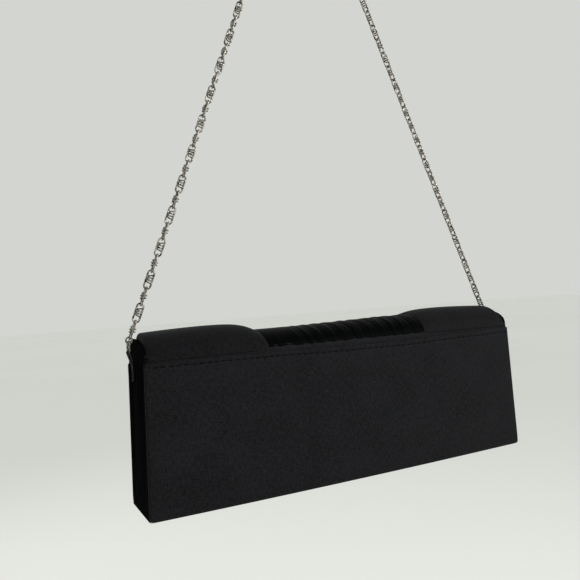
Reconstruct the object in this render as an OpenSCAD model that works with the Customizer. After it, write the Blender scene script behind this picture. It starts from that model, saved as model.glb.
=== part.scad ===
// Evening bag: a slim satin box with a domed flap, hung from a metal chain strap.
// X runs along the bag, -Y is its front, Z is up. The origin is the middle of the base.
// All lengths are in millimetres.

/* [Bag body] */
// Width of the bag across its base
base_w = 254; // [200:1:320]
// Width of the bag across the top of the back wall
top_w = 250; // [196:1:316]
// Depth of the bag from the front wall to the back wall
body_d = 41; // [34:1:60]
// Height of the back wall, where the flap is sewn on
seam_h = 81; // [65:1:110]
// How far the front wall and the gussets stop below the back wall
mouth_drop = 2; // [1:0.5:8]

/* [Cloth and boards] */
// Thickness of the satin cover with its backing
cover_t = 0.9; // [0.5:0.1:1.4]
// Thickness of the stiffening boards in the front and the base
board_t = 1.4; // [1.1:0.1:2]
// Thickness of the stiffening board in the back, which carries the flap
back_board_t = 2; // [1.1:0.1:2.6]
// Thickness of the lining
lining_t = 0.5; // [0.3:0.1:0.9]
// Thickness of the board in the flap
flap_board_t = 1.1; // [1:0.1:1.6]
// Thickness of the ruched satin on the flap
ruching_t = 1.8; // [1:0.1:3]

/* [Flap] */
// Height of the flap's crown above the back wall, to the top of the wings
wing_rise = 16.5; // [12:0.5:26]
// How far the ruched band lies below the wings at the crown
band_drop = 3.5; // [2:0.5:5]
// Length of the flap down the front at its two ends
end_drop = 25; // [15:1:45]
// Length of the flap down the front at its middle
middle_drop = 46; // [40:1:60]
// Radius of the flap's two lower corners
corner_r = 12; // [4:1:20]
// Half width of the ruched band at the back seam
band_seam = 53; // [35:1:80]
// Half width of the ruched band at the crown
band_crown = 57; // [35:1:80]
// Half width of the ruched band at its lower end
band_foot = 24; // [15:1:40]

/* [Slip pocket] */
// Width of the slip pocket inside
pocket_w = 100; // [60:1:150]
// Depth of the slip pocket from its hem to its foot
pocket_h = 48; // [30:1:55]

/* [Magnetic snap] */
// Diameter of both halves of the snap
snap_d = 14; // [12:0.5:18]
// Thickness of the socket half
socket_t = 1.8; // [1.6:0.1:3]
// Thickness of the stud half's plate
stud_t = 1.2; // [0.8:0.1:2]
// Height of the snap's middle below the back wall's edge
snap_drop = 31; // [26:1:40]

/* [Strap] */
// Height of the top of the chain, where it hangs on a hook
strap_top = 398; // [300:1:600]
// Number of scroll links on each side of the top link, an even number
links_side = 34; // [20:2:50]
// Thickness of the link wire
wire_d = 0.9; // [0.7:0.05:1.1]
// Width of a link
link_w = 4.5; // [4:0.1:6]
// Thickness of the end rings' wire
ring_wire = 1.2; // [1:0.1:1.5]
// Radius of the end rings, to the middle of the wire
ring_r = 3.3; // [3:0.1:5]
// Height of the end rings' middle above the back wall's edge
ring_rise = 8; // [6:0.5:14]
// How far the end rings stand off the gussets
ring_off = 2.3; // [1.9:0.1:4]
// How far the end rings sit forward of the middle of the depth, to balance the flap
ring_fwd = 3.5; // [0:0.5:6]

/* [Hidden] */
$fn = 48;

// Colours
satin = [0.12, 0.12, 0.13];
dark_satin = [0.04, 0.045, 0.05];
board_grey = [0.55, 0.53, 0.5];
lining_black = [0.08, 0.08, 0.085];
wadding = [0.85, 0.85, 0.83];
metal = [0.66, 0.64, 0.6];
magnet_grey = [0.3, 0.3, 0.32];

// Walls: the outer faces, and the layers inside them
back_y = body_d / 2;
mouth_h = seam_h - mouth_drop;
board_y = back_y - cover_t;
front_lining_y = board_y - board_t;
back_lining_y = board_y - back_board_t;
floor_z = cover_t + board_t;
inside_z = floor_z + lining_t;
board_top_gap = 2;

// How far a cutting shape runs past a face, and how far two joined shapes run into each other
cut = 1;
weld = 0.2;

function half_w(z) = (base_w + (top_w - base_w) * z / seam_h) / 2;

// Flap: it turns about a line on the back wall's outer edge, a little clear of it
hinge_gap = 0.2;
hinge_y = back_y + hinge_gap;
hinge_z = seam_h;
flap_lift = 0.3;
flap_z = seam_h + flap_lift;
snap_gap = 0.1;
front_gap = socket_t + stud_t + snap_gap;
flap_end_gap = 1.6;
flap_most = top_w / 2 - flap_end_gap;
dome_steps = 28;
wing_tuck = 0.2;
band_tuck = 0.6;

// Dome layers, counted out from the lining's inner face
band_crown_z = seam_h + wing_rise - band_drop;
layer_1 = lining_t;
layer_2 = layer_1 + flap_board_t;
layer_3 = layer_2 + ruching_t;
dome_back = back_y - band_tuck - layer_3;
dome_front = -(back_y + front_gap);
dome_mid = (dome_back + dome_front) / 2;
dome_a = (dome_back - dome_front) / 2;
dome_b = band_crown_z - layer_3 - flap_z;
dome_foot = seam_h - middle_drop - 5 * cut;
wing_back = back_y - wing_tuck;
wing_front_t = 3.2;
wing_front = dome_front - layer_2 - wing_front_t;
wing_mid = (wing_back + wing_front) / 2;
wing_a = (wing_back - wing_front) / 2;
wing_b = seam_h + wing_rise - flap_z;

// Strap: both strands run straight from the end rings to the top link
link_play = 0.2;
hook_play = 0.1;
jump_play = 0.5;
ring_x = top_w / 2 + ring_off;
ring_z = seam_h + ring_rise;
jump_r = (ring_wire + 2 * wire_d + jump_play) / 2;
jump_pitch = 2 * jump_r - wire_d - link_play;
start_z = ring_z + ring_r - ring_wire / 2 - link_play / 2;
strap_rise = strap_top - start_z;
top_back = wire_d / 2 + hook_play - link_play / 2;
top_tuck = (wire_d + link_play) / 2 - top_back * ring_x / norm([ring_x, strap_rise]);
run = ring_x - top_tuck;
pitch_a = links_side * links_side - 1 / 4;
pitch_b = run + 2 * jump_pitch * links_side;
pitch_c = run * run + strap_rise * strap_rise - jump_pitch * jump_pitch;
pitch = (sqrt(pitch_b * pitch_b + 4 * pitch_a * pitch_c) - pitch_b) / (2 * pitch_a);
lean = atan((run - pitch / 2) / strap_rise);
link_half = (pitch + wire_d + link_play) / 2;
arc_r = (link_w - wire_d) / 2;
lower_links = links_side / 2;

// Half width that the flap may have where it passes between the strands as it opens
strand_gap = 0.6;
strand_reach = hinge_y + ring_fwd - link_w / 2;
wide_z = start_z + (jump_pitch + pitch - 2 * wire_d) * cos(lean);
function strand_x(z) = ring_x - (z - start_z) * tan(lean)
    - (z < wide_z ? wire_d : link_w) / 2 / cos(lean) - strand_gap;
function pass_z(y, z) = let (r = norm([hinge_y - y, z - hinge_z]))
    hinge_z + sqrt(max(0, r * r - strand_reach * strand_reach));
function flap_half(y, z) = norm([hinge_y - y, z - hinge_z]) < strand_reach
    ? flap_most
    : min(flap_most, strand_x(pass_z(y, z)));
function wing_z(y) = flap_z + wing_b * sqrt(max(0, 1 - pow((y - wing_mid) / wing_a, 2)));

// Magnetic snap
snap_z = seam_h - snap_drop;
socket_hole_d = 5.4;
socket_hole_h = 1;
boss_d = 3.6;
boss_h = 0.6;
magnet_od = snap_d - 3;
magnet_id = socket_hole_d + 1;
magnet_t = 1;
magnet_skin = 0.4;
washer_d = snap_d + 2;
washer_t = 0.5;
washer_fit = 0.2;
prong_w = 3;
prong_t = 0.4;
prong_x = 4;
prong_fit = 0.05;
prong_foot = 2;

// ---------- shared shapes ----------

// A wall that lies across the bag: it follows the taper from z0 to z1, inset at its ends
module wall(y0, y1, z0, z1, inset) {
    translate([0, y1, 0])
    rotate([90, 0, 0])
    linear_extrude(y1 - y0)
    polygon([
        [-half_w(z0) + inset, z0], [half_w(z0) - inset, z0],
        [half_w(z1) - inset, z1], [-half_w(z1) + inset, z1]
    ]);
}

// One end wall: side is 1 at the right end and -1 at the left end
module end_wall(side, outer, inner, y0, y1, z0, z1) {
    translate([0, y1, 0])
    rotate([90, 0, 0])
    linear_extrude(y1 - y0)
    polygon([
        [side * (half_w(z0) - outer), z0], [side * (half_w(z1) - outer), z1],
        [side * (half_w(z1) - inner), z1], [side * (half_w(z0) - inner), z0]
    ]);
}

// A Y-Z outline drawn out along the bag
module along_x(w) {
    rotate([90, 0, 90])
    translate([0, 0, -w / 2])
    linear_extrude(w)
    children();
}

function dome(a, b, mid, steps) = [
    for (i = [0:steps]) [mid + a * cos(180 * i / steps), flap_z + b * sin(180 * i / steps)]
];
function turned(points) = [for (i = [len(points) - 1:-1:0]) points[i]];

// A layer of the flap between two depths of its plain dome
module dome_layer(t0, t1, foot) {
    outer = dome(dome_a + t1, dome_b + t1, dome_mid, dome_steps);
    inner = dome(dome_a + t0, dome_b + t0, dome_mid, dome_steps);
    along_x(base_w)
    polygon(concat(
        outer, [[dome_front - t1, foot], [dome_front - t0, foot]], turned(inner)
    ));
}

// The padded layer of the wings, thin by the inset where a cover wraps it
module wing_layer(inset, foot) {
    outer = dome(wing_a - inset, wing_b - inset, wing_mid, dome_steps);
    inner = dome(dome_a + layer_2, dome_b + layer_2, dome_mid, dome_steps);
    along_x(base_w)
    polygon(concat(
        outer, [[wing_front + inset, foot], [dome_front - layer_2, foot]], turned(inner)
    ));
}

// The flap's outline seen from above: its ends draw in where the strands pass
nip_y = hinge_y - sqrt(pow(strand_reach, 2) + pow(wide_z - hinge_z, 2) - pow(wing_rise, 2));
nip_l = 3;
nip_steps = 4;
nip_edge = 0.01;
side_ys = concat(
    [nip_y + nip_l],
    [for (i = [0:nip_steps - 1]) nip_y - nip_edge + (wing_front - nip_y) * i / nip_steps]
);
module flap_plan(inset) {
    side = concat(
        [[flap_most - inset, back_y]],
        [for (y = side_ys) [flap_half(y, wing_z(y)) - inset, y]],
        [[flap_half(wing_front, flap_z) - inset, wing_front - cut]]
    );
    translate([0, 0, flap_z - end_drop - middle_drop])
    linear_extrude(end_drop + middle_drop + 2 * wing_rise)
    polygon(concat(side, [for (p = turned(side)) [-p[0], p[1]]]));
}

// The flap's outline seen from the front: rounded corners, and a deeper middle
foot_steps = 20;
end_z = seam_h - end_drop;
middle_z = seam_h - middle_drop;
function foot_z(x, w) = middle_z + (end_z - middle_z) * (1 - cos(180 * min(1, abs(x) / w))) / 2;
module flap_front(inset) {
    w_top = flap_half(wing_front, flap_z) - inset;
    w_end = flap_half(wing_front, end_z + corner_r) - inset;
    r = corner_r - inset;
    cx = w_end - r;
    cz = end_z + corner_r;
    corner = [for (a = [0:10:80]) [cx + r * cos(a), cz - r * sin(a)]];
    foot = [for (i = [foot_steps:-1:0]) [cx * i / foot_steps, foot_z(cx * i / foot_steps, cx) + inset]];
    half = concat([[w_top, flap_z], [w_end, cz]], corner, foot);
    translate([0, wing_back + cut, 0])
    rotate([90, 0, 0])
    linear_extrude(wing_back - wing_front + 2 * cut)
    polygon(concat(
        [[base_w / 2, seam_h + 2 * wing_rise], [base_w / 2, flap_z]],
        half,
        [for (p = turned(half)) [-p[0], p[1]]],
        [[-base_w / 2, flap_z], [-base_w / 2, seam_h + 2 * wing_rise]]
    ));
}

// The space that the ruched band takes between the two wings. Its edges draw in a little
// on both sides of the crown, and down the front they sweep in to the band's foot
band_draw = 2;
band_steps = 8;
module band_space(extra) {
    top = [
        [band_seam + extra, back_y + cut], [band_crown - band_draw / 2 + extra, back_y / 2],
        [band_crown + extra, 0], [band_crown - band_draw + extra, -back_y / 2],
        [band_seam - band_draw + extra, wing_front - cut]
    ];
    front = [
        for (i = [0:band_steps]) let (t = i / band_steps)
        [band_foot + (band_seam - band_draw - band_foot) * (1 + cos(180 * t)) / 2 + extra,
         flap_z - t * (middle_drop + cut)]
    ];
    intersection() {
        translate([0, 0, middle_z - 2 * cut])
        linear_extrude(middle_drop + 3 * wing_rise)
        polygon(concat(top, [for (p = turned(top)) [-p[0], p[1]]]));
        translate([0, back_y + 2 * cut, 0])
        rotate([90, 0, 0])
        linear_extrude(body_d + 3 * wing_rise)
        polygon(concat(
            [[base_w / 2, seam_h + 2 * wing_rise], [base_w / 2, flap_z]],
            front,
            [for (p = turned(front)) [-p[0], p[1]]],
            [[-base_w / 2, flap_z], [-base_w / 2, seam_h + 2 * wing_rise]]
        ));
    }
}

// One half of the space outside the ruched band
module end_half(side) {
    translate([side * base_w / 2, 0, 0])
    cube([base_w, 4 * body_d, 6 * seam_h], center = true);
}

// A round disc that faces the front, with its near face at y
module front_disc(d, y, t) {
    translate([0, y, snap_z])
    rotate([-90, 0, 0])
    cylinder(d = d, h = t);
}

// The two prongs of a snap half, or the slots that they pass through, from y back by reach
module prongs(y, reach, fit) {
    for (s = [-1, 1]) {
        translate([s * prong_x - prong_t / 2 - fit, y, snap_z - prong_w / 2 - fit])
        cube([prong_t + 2 * fit, reach, prong_w + 2 * fit]);
    }
}
// The prongs' ends, bent outwards over a washer, with their near face at y
module prong_feet(y) {
    for (s = [-1, 1]) {
        translate([s * (prong_x + prong_foot / 2), y + prong_t / 2, snap_z])
        cube([prong_foot + prong_t, prong_t, prong_w], center = true);
    }
}

// ---------- bag body ----------

module back_panel() {
    color(satin)
    wall(board_y, back_y, 0, seam_h, 0);
}

module front_panel() {
    color(satin)
    difference() {
        wall(-back_y, -board_y, 0, mouth_h, 0);
        prongs(-back_y - cut, cover_t + 2 * cut, prong_fit);
    }
}

module base_panel() {
    color(satin)
    wall(-board_y, board_y, 0, cover_t, 0);
}

// The gusset's satin rises past the mouth as a thin arched ear that closes the end of the dome.
// It leans in to stand just outside the flap's end and inside the chain's first link.
ear_over = 0.8;
ear_gap = 0.35;
ear_t = 0.45;
ear_knee = 5;
module ear(side) {
    low_z = mouth_h - weld;
    knee_z = mouth_h + ear_knee;
    inner = flap_most + ear_gap;
    outer = inner + ear_t;
    arch = dome(dome_a + layer_2 + ear_over, dome_b + layer_2 + ear_over, dome_mid, dome_steps);
    intersection() {
        translate([0, board_y, 0])
        rotate([90, 0, 0])
        linear_extrude(2 * board_y)
        polygon([
            [side * (half_w(low_z) - cover_t), low_z], [side * inner, knee_z],
            [side * inner, band_crown_z], [side * outer, band_crown_z],
            [side * outer, knee_z], [side * half_w(mouth_h), mouth_h],
            [side * half_w(mouth_h), low_z]
        ]);
        along_x(top_w + 2 * cut)
        polygon(concat(arch, [
            [-board_y - cut, flap_z], [-board_y - cut, low_z - cut],
            [board_y + cut, low_z - cut], [board_y + cut, flap_z]
        ]));
    }
}
module gusset(side) {
    color(satin) {
        end_wall(side, 0, cover_t, -board_y, board_y, cover_t, mouth_h);
        ear(side);
    }
}
module left_gusset() { gusset(-1); }
module right_gusset() { gusset(1); }

module back_board() {
    color(board_grey)
    wall(back_lining_y, board_y, cover_t, seam_h - board_top_gap, cover_t);
}

module front_board() {
    color(board_grey)
    difference() {
        wall(-board_y, -front_lining_y, cover_t, mouth_h - board_top_gap, cover_t);
        prongs(-board_y - cut, board_t + 2 * cut, prong_fit);
        front_disc(washer_d + 2 * washer_fit, -front_lining_y - washer_t - prong_t,
                   washer_t + prong_t + cut);
    }
}

module base_board() {
    color(board_grey)
    wall(-front_lining_y, back_lining_y, cover_t, floor_z, cover_t + lining_t);
}

module back_lining() {
    color(lining_black)
    wall(back_lining_y - lining_t, back_lining_y, inside_z, seam_h - board_top_gap,
         cover_t + lining_t);
}

module front_lining() {
    color(lining_black)
    wall(-front_lining_y, lining_t - front_lining_y, inside_z, mouth_h - board_top_gap,
         cover_t + lining_t);
}

module base_lining() {
    color(lining_black)
    wall(-front_lining_y, back_lining_y, floor_z, inside_z, cover_t + lining_t);
}

module gusset_lining(side) {
    color(lining_black)
    end_wall(side, cover_t, cover_t + lining_t, -front_lining_y, back_lining_y,
             cover_t, mouth_h - board_top_gap);
}
module left_gusset_lining() { gusset_lining(-1); }
module right_gusset_lining() { gusset_lining(1); }

// A patch on the back lining, with a doubled hem along its open top edge
hem_h = 8;
pocket_low = 16;
module slip_pocket() {
    pocket_z = seam_h - pocket_low - pocket_h;
    color(lining_black) {
        translate([-pocket_w / 2, back_lining_y - 2 * lining_t, pocket_z])
        cube([pocket_w, lining_t, pocket_h]);
        translate([-pocket_w / 2, back_lining_y - 3 * lining_t, pocket_z + pocket_h - hem_h])
        cube([pocket_w, lining_t, hem_h]);
    }
}

// A ribbon loop sewn to the gusset, through which the end ring runs
tab_w = 3.6;
tab_t = 1.2;
tab_tail = 9;
tab_wall = 0.5;
ring_fit = 0.25;
ring_low = sqrt(ring_r * ring_r - tab_w * tab_w / 4);
tab_head_r = ring_r - ring_low + (ring_wire / 2 + ring_fit) * ring_r / ring_low + tab_wall;
module strap_tab(side) {
    head_z = ring_z - ring_r;
    neck_z = head_z - tab_head_r + 2 * weld;
    tail_z = mouth_h - tab_tail;
    color(dark_satin)
    difference() {
        translate([0, tab_w / 2 - ring_fwd, 0])
        rotate([90, 0, 0])
        linear_extrude(tab_w)
        union() {
            polygon([
                [side * half_w(tail_z), tail_z], [side * half_w(mouth_h), mouth_h],
                [side * (ring_x - tab_t / 2), neck_z], [side * (ring_x + tab_t / 2), neck_z],
                [side * (half_w(mouth_h) + tab_t), mouth_h],
                [side * (half_w(tail_z) + tab_t), tail_z]
            ]);
            translate([side * ring_x, head_z])
            circle(r = tab_head_r);
        }
        ring_torus(side, ring_wire / 2 + ring_fit);
    }
}
module left_strap_tab() { strap_tab(-1); }
module right_strap_tab() {
    mirror([1, 0, 0])
    strap_tab(-1);
}

// ---------- magnetic snap ----------

module snap_socket() {
    color(metal)
    difference() {
        union() {
            front_disc(snap_d, -back_y - socket_t, socket_t);
            prongs(-back_y - weld, cover_t + board_t + weld, 0);
            prong_feet(-front_lining_y - prong_t);
        }
        front_disc(socket_hole_d, -back_y - socket_t - cut, socket_hole_h + cut);
        snap_magnet();
    }
}

module snap_magnet() {
    color(magnet_grey)
    difference() {
        front_disc(magnet_od, -back_y - socket_t + magnet_skin, magnet_t);
        front_disc(magnet_id, -back_y - socket_t, socket_t);
    }
}

module washer(y) {
    color(metal)
    difference() {
        front_disc(washer_d, y, washer_t);
        prongs(y - cut, washer_t + 2 * cut, prong_fit);
    }
}
module socket_washer() { washer(-front_lining_y - washer_t - prong_t); }

module snap_stud() {
    plate_y = dome_front + stud_t;
    feet_y = dome_front - lining_t - washer_t - prong_t;
    color(metal) {
        front_disc(snap_d, dome_front, stud_t);
        front_disc(boss_d, plate_y - weld, boss_h + weld);
        prongs(feet_y, dome_front + weld - feet_y, 0);
        prong_feet(feet_y);
    }
}
module stud_washer() { washer(dome_front - lining_t - washer_t); }

// ---------- flap ----------

module flap_lining() {
    color(lining_black)
    difference() {
        intersection() {
            dome_layer(0, layer_1, dome_foot);
            flap_plan(0);
            flap_front(0);
        }
        prongs(dome_front - lining_t - cut, lining_t + 2 * cut, prong_fit);
    }
}

module flap_board() {
    color(board_grey)
    difference() {
        intersection() {
            dome_layer(layer_1, layer_2, dome_foot);
            flap_plan(cover_t);
            flap_front(cover_t);
        }
        front_disc(washer_d + 2 * washer_fit, dome_front - lining_t - washer_t - prong_t,
                   washer_t + prong_t + cut);
    }
}

module ruched_band() {
    color(dark_satin)
    intersection() {
        dome_layer(layer_2, layer_3, dome_foot);
        band_space(0);
        flap_front(0);
    }
}

module wing_shape(side, inset) {
    difference() {
        intersection() {
            wing_layer(inset, dome_foot);
            flap_plan(inset);
            flap_front(inset);
            end_half(side);
        }
        band_space(inset);
    }
}
module wing_cover(side) {
    color(satin)
    difference() {
        wing_shape(side, 0);
        wing_padding(side);
    }
}
module wing_padding(side) {
    color(wadding)
    wing_shape(side, cover_t);
}
module left_wing_cover() { wing_cover(-1); }
module right_wing_cover() { wing_cover(1); }
module left_wing_padding() { wing_padding(-1); }
module right_wing_padding() { wing_padding(1); }

// ---------- strap ----------

module ring_torus(side, r) {
    translate([side * ring_x, -ring_fwd, ring_z])
    rotate([0, 90, 0])
    rotate_extrude()
    translate([ring_r, 0])
    circle(r = r);
}

// One link: a long oval of round wire, standing along Z in the X-Z plane.
// link_half is the distance from its middle to the middle of the wire at its end
module link() {
    straight = link_half - arc_r;
    rotate([90, 0, 0]) {
        for (s = [0, 180]) {
            rotate([0, 0, s])
            translate([0, straight, 0])
            rotate_extrude(angle = 180)
            translate([arc_r, 0])
            circle(d = wire_d);
        }
        for (s = [-1, 1]) {
            translate([s * arc_r, 0, 0])
            rotate([90, 0, 0])
            cylinder(d = wire_d, h = 2 * straight, center = true);
        }
    }
}

// A place on a strand, s along it from the end ring
module on_strand(side, s) {
    translate([side * (ring_x - s * sin(lean)), -ring_fwd, start_z + s * cos(lean)])
    rotate([0, -side * lean, 0])
    children();
}

// Links from number k0 to k1, each turned a quarter turn from the last
module links(side, k0, k1) {
    for (k = [k0:k1]) {
        on_strand(side, jump_pitch + (k - 0.5) * pitch)
        rotate([0, 0, k % 2 == 1 ? 90 : 0])
        link();
    }
}

module ring(side) {
    color(metal)
    ring_torus(side, ring_wire / 2);
}
module left_ring() { ring(-1); }
module right_ring() { ring(1); }

module jump_ring(side) {
    on_strand(side, jump_pitch / 2)
    rotate([90, 0, 0])
    rotate_extrude()
    translate([jump_r, 0])
    circle(d = wire_d);
}

module chain_lower(side) {
    color(metal) {
        jump_ring(side);
        links(side, 1, lower_links);
    }
}
module left_chain_lower() { chain_lower(-1); }
module right_chain_lower() { chain_lower(1); }

module chain_upper(side) {
    color(metal)
    links(side, lower_links + 1, links_side);
}
module left_chain_upper() { chain_upper(-1); }
module right_chain_upper() { chain_upper(1); }

module top_link() {
    color(metal)
    translate([0, -ring_fwd, strap_top - top_back * cos(lean)])
    rotate([90, 0, 0])
    rotate([0, 90, 0])
    link();
}

// ---------- nodes ----------

back_panel();
front_panel();
base_panel();
left_gusset();
right_gusset();
back_board();
front_board();
base_board();
back_lining();
front_lining();
base_lining();
left_gusset_lining();
right_gusset_lining();
slip_pocket();
left_strap_tab();
right_strap_tab();
snap_socket();
snap_magnet();
socket_washer();
flap_lining();
flap_board();
ruched_band();
left_wing_cover();
right_wing_cover();
left_wing_padding();
right_wing_padding();
snap_stud();
stud_washer();
left_ring();
right_ring();
left_chain_lower();
right_chain_lower();
left_chain_upper();
right_chain_upper();
top_link();
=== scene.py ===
"""Looks of the satin evening bag: cloth, padding, ruching, stitching, lining, snap and scroll chain.

Everything is in metres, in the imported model's own frame: X along the bag, -Y its front, Z up.
"""
import math

import bmesh
import bpy
from mathutils import Matrix, Vector, noise


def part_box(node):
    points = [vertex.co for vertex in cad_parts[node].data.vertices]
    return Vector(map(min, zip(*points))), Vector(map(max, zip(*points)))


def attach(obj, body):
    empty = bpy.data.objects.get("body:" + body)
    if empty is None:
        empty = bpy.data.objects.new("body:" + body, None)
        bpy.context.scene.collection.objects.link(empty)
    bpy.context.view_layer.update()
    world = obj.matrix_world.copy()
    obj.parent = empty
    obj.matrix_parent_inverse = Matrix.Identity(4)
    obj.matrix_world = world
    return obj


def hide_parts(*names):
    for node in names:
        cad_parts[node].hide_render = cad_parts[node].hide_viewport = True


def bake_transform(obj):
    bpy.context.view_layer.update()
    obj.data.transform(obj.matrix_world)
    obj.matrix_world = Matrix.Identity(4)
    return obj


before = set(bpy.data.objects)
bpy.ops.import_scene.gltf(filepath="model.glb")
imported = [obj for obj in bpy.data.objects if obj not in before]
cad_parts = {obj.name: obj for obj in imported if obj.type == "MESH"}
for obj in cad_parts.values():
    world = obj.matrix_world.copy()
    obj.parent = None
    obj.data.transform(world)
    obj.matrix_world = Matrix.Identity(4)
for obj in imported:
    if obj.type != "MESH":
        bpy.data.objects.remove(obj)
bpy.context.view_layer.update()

MM = 0.001

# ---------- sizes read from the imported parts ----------

back_low, back_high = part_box("back_panel")
front_low, front_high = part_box("front_panel")
flap_low, flap_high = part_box("flap_board")
wing_low, wing_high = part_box("right_wing_cover")
flap_lining_low, flap_lining_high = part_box("flap_lining")
ring_low, ring_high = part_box("right_ring")
top_low, top_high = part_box("top_link")
tab_low, tab_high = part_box("right_strap_tab")
pocket_low, pocket_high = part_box("slip_pocket")
gusset_low, gusset_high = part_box("right_gusset")
lining_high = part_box("back_lining")[1]
lining_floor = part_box("base_lining")[0].z
band_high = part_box("ruched_band")[1]
board_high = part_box("back_board")[1]

BACK_Y = back_high.y
FRONT_Y = front_low.y
SEAM_Z = back_high.z
MOUTH_Z = front_high.z
COVER_T = back_high.y - back_low.y
BASE_HALF = back_high.x
MOUTH_HALF = tab_low.x
DOME_MID = (flap_low.y + flap_high.y) / 2
DOME_A = (flap_high.y - flap_low.y) / 2
HANDS = {1: "right", -1: "left"}


def half_width(z):
    """Half the width of the bag at a height: it narrows a little to the top."""
    return BASE_HALF + (MOUTH_HALF - BASE_HALF) * z / MOUTH_Z


def soft_step(t):
    """0 below 0, 1 above 1, and smooth between."""
    t = min(1.0, max(0.0, t))
    return t * t * (3 - 2 * t)


def ripple(x, y, z, size):
    """Smooth unevenness from -1 to 1 whose lumps are about `size` across."""
    return noise.noise(Vector((x, y, z)) / size)


def spaced(count, low, high):
    """Evenly spaced values, both ends included."""
    return [low + (high - low) * i / (count - 1) for i in range(count)]


def pick(values, share):
    """The value that lies a share of the way along a list."""
    return values[round(share * (len(values) - 1))]


def lengths_along(points):
    """Length walked to each point of a line, whose points start with two coordinates."""
    lengths = [0.0]
    for a, b in zip(points, points[1:]):
        lengths.append(lengths[-1] + math.hypot(b[0] - a[0], b[1] - a[1]))
    return lengths


# ---------- camera, floor and light ----------

CAMERA_PLACE = Vector((0.1941, 0.3312, 0.1047))
CAMERA_YAW = math.radians(-26.41)
CAMERA_PITCH = math.radians(-1.59)
CAMERA_ROLL = math.radians(-4.0)
LENS_MM = 37.82
SENSOR_MM = 36.0


def make_camera():
    data = bpy.data.cameras.new("camera")
    data.lens = LENS_MM
    data.sensor_width = SENSOR_MM
    data.clip_start = 0.01
    data.clip_end = 100
    camera = bpy.data.objects.new("camera", data)
    bpy.context.scene.collection.objects.link(camera)
    look = Vector((
        math.sin(CAMERA_YAW) * math.cos(CAMERA_PITCH),
        -math.cos(CAMERA_YAW) * math.cos(CAMERA_PITCH),
        -math.sin(CAMERA_PITCH),
    ))
    level = look.cross(Vector((0, 0, 1))).normalized()
    upright = level.cross(look)
    side = math.cos(CAMERA_ROLL) * level + math.sin(CAMERA_ROLL) * upright
    up = -math.sin(CAMERA_ROLL) * level + math.cos(CAMERA_ROLL) * upright
    turn = Matrix((side, up, -look)).transposed().to_4x4()
    camera.matrix_world = Matrix.Translation(CAMERA_PLACE) @ turn
    bpy.context.scene.camera = camera


def area_light(name, place, target, size, watts, colour):
    data = bpy.data.lights.new(name, "AREA")
    data.size = size
    data.energy = watts
    data.color = colour
    light = bpy.data.objects.new(name, data)
    bpy.context.scene.collection.objects.link(light)
    light.location = place
    light.rotation_mode = "QUATERNION"
    light.rotation_quaternion = (Vector(target) - Vector(place)).to_track_quat("-Z", "Y")


FLOOR_Z = -0.32


def make_studio():
    bpy.ops.mesh.primitive_plane_add(size=60, location=(0, 0, FLOOR_Z))
    floor = bpy.context.active_object
    floor.name = "floor"
    floor.data.materials.append(floor_paint())
    window = bpy.data.lights.new("window", "SUN")
    window.angle = math.radians(35)
    window.energy = 0.8
    window.color = (1.0, 1.0, 0.98)
    light = bpy.data.objects.new("window", window)
    bpy.context.scene.collection.objects.link(light)
    light.rotation_mode = "QUATERNION"
    light.rotation_quaternion = Vector((0.66, -0.66, -0.45)).to_track_quat("-Z", "Y")
    area_light("near_window", (-0.62, 0.66, 0.42), (-0.05, 0, 0.06), 0.45, 4.6, (1.0, 1.0, 0.99))
    area_light("front_fill", (0.4, -0.9, 0.7), (0, 0, 0.06), 0.9, 2.5, (1.0, 0.99, 0.97))
    world = bpy.data.worlds.new("studio")
    world.use_nodes = True
    sky = world.node_tree.nodes["Background"]
    sky.inputs["Color"].default_value = (0.655, 0.665, 0.64, 1)
    sky.inputs["Strength"].default_value = 1.0
    bpy.context.scene.world = world
    bpy.context.scene.view_settings.view_transform = "Standard"


# ---------- finishes ----------

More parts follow.
